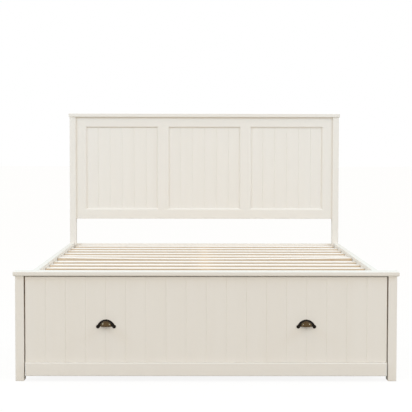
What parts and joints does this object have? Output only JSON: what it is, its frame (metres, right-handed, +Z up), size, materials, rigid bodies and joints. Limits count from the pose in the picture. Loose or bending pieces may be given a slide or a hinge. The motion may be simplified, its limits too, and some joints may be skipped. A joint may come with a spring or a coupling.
{
  "type": "bed frame",
  "caption": "Painted wooden king-size bed frame with a panelled headboard, a slatted base and one wide drawer on castors at the foot, opened by cup handles.",
  "frame": {"origin": "on the floor, at the centre of the whole bed's outline", "axes": "+X to the right seen from the foot, +Y towards the headboard, +Z up"},
  "size_m": [1.596, 2.173, 1.168],
  "materials": {
    "cream_paint": "satin cream paint",
    "bare_pine": "planed, unfinished",
    "plywood": "sanded, unfinished",
    "antique_bronze": "dark bronze with rubbed edges",
    "zinc_steel": "zinc plated",
    "grey_nylon": "moulded"
  },
  "bodies": {
    "frame": {"barrel_nuts": "zinc_steel", "bracket_screws": "zinc_steel", "centre_leg_front": "bare_pine", "centre_leg_rear": "bare_pine", "centre_rail": "bare_pine", "corner_brackets": "zinc_steel", "foot_cap": "cream_paint", "foot_cross_rail": "cream_paint", "foot_leg_left": "cream_paint", "foot_leg_right": "cream_paint", "frame_dowels": "bare_pine", "head_bottom_rail": "cream_paint", "head_cap": "cream_paint", "head_cross_rail": "cream_paint", "head_muntin_left": "cream_paint", "head_muntin_right": "cream_paint", "head_panel_centre": "cream_paint", "head_panel_left": "cream_paint", "head_panel_right": "cream_paint", "head_post_left": "cream_paint", "head_post_right": "cream_paint", "head_stile_left": "cream_paint", "head_stile_right": "cream_paint", "head_top_rail": "cream_paint", "rail_bolts": "zinc_steel", "side_rail_left": "cream_paint", "side_rail_right": "cream_paint", "slat_01": "bare_pine", "slat_02": "bare_pine", "slat_03": "bare_pine", "slat_04": "bare_pine", "slat_05": "bare_pine", "slat_06": "bare_pine", "slat_07": "bare_pine", "slat_08": "bare_pine", "slat_09": "bare_pine", "slat_10": "bare_pine", "slat_11": "bare_pine", "slat_12": "bare_pine", "slat_13": "bare_pine", "slat_ledge_left": "bare_pine", "slat_ledge_right": "bare_pine", "wood_screws": "zinc_steel"},
    "drawer": {"castor_forks": "zinc_steel", "drawer_back": "bare_pine", "drawer_base_left": "plywood", "drawer_base_right": "plywood", "drawer_centre_strip": "bare_pine", "drawer_dowels": "bare_pine", "drawer_front": "cream_paint", "drawer_plinth": "cream_paint", "drawer_side_left": "bare_pine", "drawer_side_right": "bare_pine", "handle_left": "antique_bronze", "handle_right": "antique_bronze", "handle_screws": "zinc_steel"},
    "castor_front_left": {"castor_wheel_front_left": "grey_nylon"},
    "castor_front_right": {"castor_wheel_front_right": "grey_nylon"},
    "castor_rear_left": {"castor_wheel_rear_left": "grey_nylon"},
    "castor_rear_right": {"castor_wheel_rear_right": "grey_nylon"}
  },
  "joints": [
    {"name": "drawer_slide", "type": "slide", "parent": "frame", "child": "drawer", "axis": [0, -1, 0], "range_m": [0, 0.56]},
    {"name": "castor_front_left_spin", "type": "hinge", "parent": "drawer", "child": "castor_front_left", "pos_m": [-0.64, -0.9145, 0.021], "axis": [1, 0, 0], "continuous": true},
    {"name": "castor_front_right_spin", "type": "hinge", "parent": "drawer", "child": "castor_front_right", "pos_m": [0.64, -0.9145, 0.021], "axis": [1, 0, 0], "continuous": true},
    {"name": "castor_rear_left_spin", "type": "hinge", "parent": "drawer", "child": "castor_rear_left", "pos_m": [-0.64, -0.4645, 0.021], "axis": [1, 0, 0], "continuous": true},
    {"name": "castor_rear_right_spin", "type": "hinge", "parent": "drawer", "child": "castor_rear_right", "pos_m": [0.64, -0.4645, 0.021], "axis": [1, 0, 0], "continuous": true}
  ],
  "couplings": [
    {"joint": "castor_front_left_spin", "follows": "drawer_slide", "rad_per_m": 47.619},
    {"joint": "castor_front_right_spin", "follows": "drawer_slide", "rad_per_m": 47.619},
    {"joint": "castor_rear_left_spin", "follows": "drawer_slide", "rad_per_m": 47.619},
    {"joint": "castor_rear_right_spin", "follows": "drawer_slide", "rad_per_m": 47.619}
  ]
}
